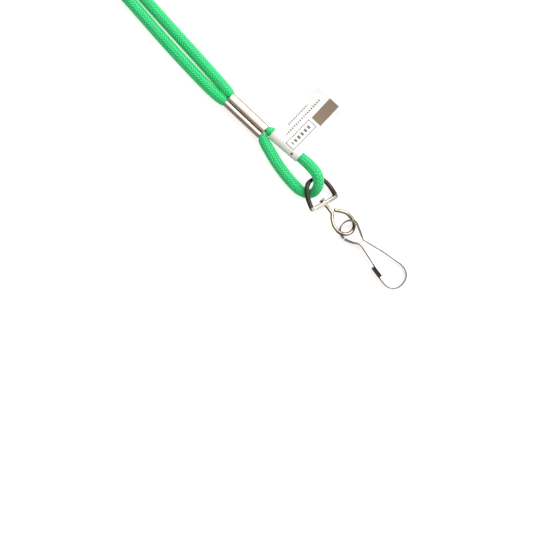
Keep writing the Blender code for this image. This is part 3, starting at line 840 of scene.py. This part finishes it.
nickel = {
    "crimp": {"light": (0.95, 0.90, 0.83, 1), "dark": (0.80, 0.72, 0.63, 1),
              # painted shade for the seam and a painted dark reflection for the flank beside it
              "seam": (0.16, 0.12, 0.09, 1), "flankReflection": (0.36, 0.30, 0.245, 1),
              "above": 3.2},    # mm, where the painted seam shade and flank reflection start
    "ring": {"light": (0.74, 0.705, 0.64, 1), "dark": (0.055, 0.042, 0.034, 1),
             "barEnd": 1.5},    # mm from the bar's outer face, where the dark arc starts
    "wire": {"light": (0.52, 0.44, 0.345, 1), "dark": (0.16, 0.115, 0.08, 1)},
    "hook": {"light": (0.46, 0.43, 0.395, 1), "dark": (0.15, 0.125, 0.105, 1),
             # the catch colour is a near-black painted reflection on the catch's upper part
             "catch": (0.050, 0.036, 0.032, 1), "catchAbove": 2.7,
             "catchBox": (77.6, 83.9, -12.0, -7.2)},    # mm: low x, high x, low y, high y
}


def insideBox(x, y, box, grow=0.0):
    return (x.between((box[0] - grow) * mm, (box[1] + grow) * mm)
            * y.between((box[2] - grow) * mm, (box[3] + grow) * mm))


def brushed(paint, vector, scale, depth):
    # hairline scratches along one way, and softer cloudy wear over them
    lines = paint.noise(vector, scale, 4.0, 0.65)
    clouds = paint.noise(paint.place(), 240.0, 3.0)
    return lines, clouds, paint.bump(lines, depth * mm, 0.35)


def paintCrimp(cfg):
    # fine rolling lines along the sleeve, painted shade down in the seam, and a painted dark
    # reflection on the flank beside it
    paint = Paint("crimpNickel", Metallic=1.0)
    x, y, z = paint.split(paint.place())
    stretched = paint.joined(x * 40.0, y * 1500.0, z * 1500.0)
    lines, clouds, normal = brushed(paint, stretched, 1.0, 0.004)
    tone = (clouds * 0.7 + lines * 0.3).ramp(0.30, 0.60)
    off, top = y - crimp["seamY"] * mm, z > cfg["above"] * mm
    # painted reflection: a grey-brown band on the flank just beside the seam, standing in for the
    # dim side it faces, on the top only
    flankReflection = off.ramp(0.2 * mm, 0.4 * mm) * (1.0 - off.ramp(1.0 * mm, 1.4 * mm)) * top
    # painted shade: a dark line down the seam, on the top only
    seam = (1.0 - off.abs().ramp(0.1 * mm, 0.4 * mm)) * top
    colour = paint.mix(tone, cfg["dark"], cfg["light"])
    colour = paint.mix(flankReflection * (0.75 + clouds * 0.3), colour, cfg["flankReflection"])
    colour = paint.mix(seam * 0.85, colour, cfg["seam"])
    paint.set(Base_Color=colour, Roughness=0.20 + lines * 0.08 + clouds * 0.06, Normal=normal)
    return paint


def paintRing(cfg):
    # the arc past the bar is painted much darker than the bar, and the flat faces get cloudy dark
    # patches
    paint = Paint("ringNickel", Metallic=1.0)
    normal = paint.place("Normal")
    facing = paint.dot(normal, ringAxes[:, 2])
    back = paint.dot(paint.place(), -ringAxes[:, 0]) + float(ringAxes[:, 0] @ ring["bar"]) * mm
    _, clouds, bumps = brushed(paint, paint.place(), 1500.0, 0.008)
    arch = back.ramp((cfg["barEnd"] - 0.3) * mm, (cfg["barEnd"] + 0.3) * mm)
    worn = facing.abs().ramp(0.8, 0.98) * clouds.ramp(0.42, 0.6) * 0.55
    edge = (arch * (0.86 + clouds * 0.25)).most(worn)
    colour = paint.mix(edge.least(1.0), cfg["light"], cfg["dark"])
    paint.set(Base_Color=colour, Roughness=0.14 + clouds * 0.14 + edge * 0.12, Normal=bumps)
    return paint


def paintWire(cfg):
    paint = Paint("wireNickel", Metallic=1.0)
    lines, clouds, bumps = brushed(paint, paint.place(), 1800.0, 0.008)
    tone = (clouds * 0.7 + lines * 0.3).ramp(0.32, 0.6)
    paint.set(Base_Color=paint.mix(tone, cfg["dark"], cfg["light"]),
              Roughness=0.16 + clouds * 0.12, Normal=bumps)
    return paint


def paintStrip(name, cfg):
    # rolled spring strip: bright faces; a painted dark reflection makes the narrow edges that point
    # up browner and the catch's upper part near black, over cloudy wear
    paint = Paint(name, Metallic=1.0)
    x, y, z = paint.split(paint.place())
    # painted reflection: faces that point up, the narrow edges among them, are darkened
    up = paint.split(paint.place("Normal"))[2].abs().ramp(0.55, 0.9)
    stretched = paint.joined(x * 130.0, y * 130.0, z * 3200.0)
    lines, clouds, bumps = brushed(paint, stretched, 1.0, 0.008)
    reflectionAndWear = (up * 0.35 + clouds.ramp(0.42, 0.62) * 0.35).least(1.0)
    colour = paint.mix(reflectionAndWear, cfg["light"], cfg["dark"])
    # painted reflection: the catch's upper part is painted near black
    flange = insideBox(x, y, cfg["catchBox"]) * (z > cfg["catchAbove"] * mm)
    colour = paint.mix(flange * (0.85 + clouds * 0.3), colour, cfg["catch"])
    paint.set(Base_Color=colour, Roughness=0.17 + lines * 0.14 + up * 0.08, Normal=bumps)
    return paint


marks = {
    "ink": (0.025, 0.022, 0.02, 1),
    "block": (0.23, 0.165, 0.115, 1),
    "paper": (0.88, 0.88, 0.875, 1),
    "paperShade": (0.82, 0.82, 0.81, 1),
    "blockBox": (19.6, 24.5, 17.4, 28.2),     # mm: low x, high x, low y, high y
    "frameBox": (19.2, 23.5, 2.6, 16.2),
    "frameLine": 0.3,
    "dot": (23.9, 1.15, 0.52),
    "strokes": ((21.35, 4.2, 14.6, 0.75, 1.9), (17.0, 4.8, 24.8, 0.36, 1.1),
                (14.8, 8.6, 20.0, 0.33, 0.9)),  # x, low y, high y, half width, spacing
}


def paintLabel(cfg):
    paint = Paint("labelPaper", Roughness=0.5, Specular_IOR_Level=0.4)
    place = paint.place()
    x, y, _ = paint.split(place)
    up = paint.split(paint.place("Normal"))[2].ramp(0.4, 0.7)
    block = insideBox(x, y, cfg["blockBox"])
    within = insideBox(x, y, cfg["frameBox"], -cfg["frameLine"])
    border = insideBox(x, y, cfg["frameBox"]) * (1.0 - within)
    dotX, dotY, dotSize = cfg["dot"]
    away = (((x - dotX * mm) ** 2.0) + ((y - dotY * mm) ** 2.0)) ** 0.5
    ink = border.most(away < dotSize * mm)
    for at, low, high, half, pitch in cfg["strokes"]:
        stroke = (x - at * mm).abs() < half * mm
        stroke = stroke * y.between(low * mm, high * mm)
        ink = ink.most(stroke * ((y / (pitch * mm)).part() < 0.55))
    fibre = paint.noise(place, 2600.0, 5.0, 0.7)
    cloud = paint.noise(place, 260.0, 3.0)
    paper = paint.mix(cloud.ramp(0.3, 0.7), cfg["paper"], cfg["paperShade"])
    colour = paint.mix(block * up * (0.9 + fibre * 0.15).least(1.0), paper, cfg["block"])
    colour = paint.mix(ink * up * (0.70 + fibre * 0.3), colour, cfg["ink"])
    paint.set(Base_Color=colour, Roughness=0.42 + fibre * 0.2,
              Normal=paint.bump(fibre * 0.6 + cloud * 0.4, 0.02 * mm, 0.5))
    return paint


tiePaper = {"shade": (0.66, 0.64, 0.59, 1), "light": (0.80, 0.79, 0.75, 1)}


def paintTie(cfg):
    paint = Paint("tiePaper", Roughness=0.75, Specular_IOR_Level=0.25)
    place = paint.place()
    x, y, z = paint.split(place)
    creases = paint.noise(paint.joined(x * 60.0, y * 260.0, z * 260.0), 1.0, 4.0)
    fibre = paint.noise(place, 2200.0, 5.0, 0.7)
    colour = paint.mix(creases.ramp(0.35, 0.65), cfg["shade"], cfg["light"])
    paint.set(Base_Color=colour, Roughness=0.65 + fibre * 0.2,
              Normal=paint.bump(creases * 0.7 + fibre * 0.3, 0.12 * mm, 0.6))
    return paint


paintCord(greens).on(neckCord, loopCord)
paintSealedEnd(sealed).on(*(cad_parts[name] for name in (
    "cord_end_neck", "cord_end_loop", "crimped_cord")))
paintCrimp(nickel["crimp"]).on(crimpSleeve)
paintRing(nickel["ring"]).on(dRing)
paintWire(nickel["wire"]).on(swivelEye)
paintStrip("hookSteel", nickel["hook"]).on(hookStrip)
paintStrip("gateSteel", nickel["hook"]).on(gateStrip)
paintLabel(marks).on(flagLabel)
paintTie(tiePaper).on(hankTie)
print("materials made")


studio = {
    "floor": (0.68, 0.68, 0.675, 1),
    "floorShade": (0.66, 0.66, 0.66, 1),
    "floorHalf": 3.0,                   # metres
    "glow": 0.62,                       # the floor's own light, which keeps shadows faint
    "sky": (1.0, 0.985, 0.955, 1),
    "dim": (0.21, 0.175, 0.145, 1),     # dark flags low round the table
    "skyStrength": 1.12,
    "lean": (0.05, 0.69, 0.72),         # the bright part of the sky leans to the label's side
    "boxAt": (0.10, 0.70, 0.75),        # the big soft light
    "boxSize": 0.6,
    "boxPower": 5.0,
}


def addStage(cfg):
    mesh = bpy.data.meshes.new("floor")
    size = cfg["floorHalf"]
    corners = [(-size, -size, 0), (size, -size, 0), (size, size, 0), (-size, size, 0)]
    mesh.from_pydata(corners, [], [(0, 1, 2, 3)])
    floor = bpy.data.objects.new("floor", mesh)
    bpy.context.scene.collection.objects.link(floor)
    floor.visible_glossy = False  # metal mirrors the dark flags instead
    paint = Paint("floorPaper", Roughness=0.9, Specular_IOR_Level=0.1,
                  Emission_Strength=cfg["glow"])
    cloud = paint.noise(paint.place(), 3.0, 2.0)
    paint.set(Base_Color=paint.mix(cloud, cfg["floor"], cfg["floorShade"]),
              Emission_Color=(1, 1, 1, 1))
    paint.on(floor)


def addLights(cfg):
    world = bpy.data.worlds.new("studio")
    world.use_nodes = True
    bpy.context.scene.world = world
    sky = Paint("sky", tree=world.node_tree)
    way = sky.place("Generated")
    up = sky.dot(way, unit(cfg["lean"]))
    colour = sky.mix(up.ramp(-0.06, 0.64), cfg["dim"], cfg["sky"])
    back = sky.node("ShaderNodeBackground", None, {"Color": colour, "Strength": cfg["skyStrength"]})
    sky.node("ShaderNodeOutputWorld", None, {"Surface": back})
    data = bpy.data.lights.new("softbox", "AREA")
    data.size, data.energy = cfg["boxSize"], cfg["boxPower"]
    light = bpy.data.objects.new("softbox", data)
    light.location = cfg["boxAt"]
    light.rotation_euler = (-Vector(cfg["boxAt"])).to_track_quat("-Z", "Y").to_euler()
    bpy.context.scene.collection.objects.link(light)
    bpy.context.scene.view_settings.view_transform = "Standard"


addStage(studio)
addLights(studio)
print("stage set")
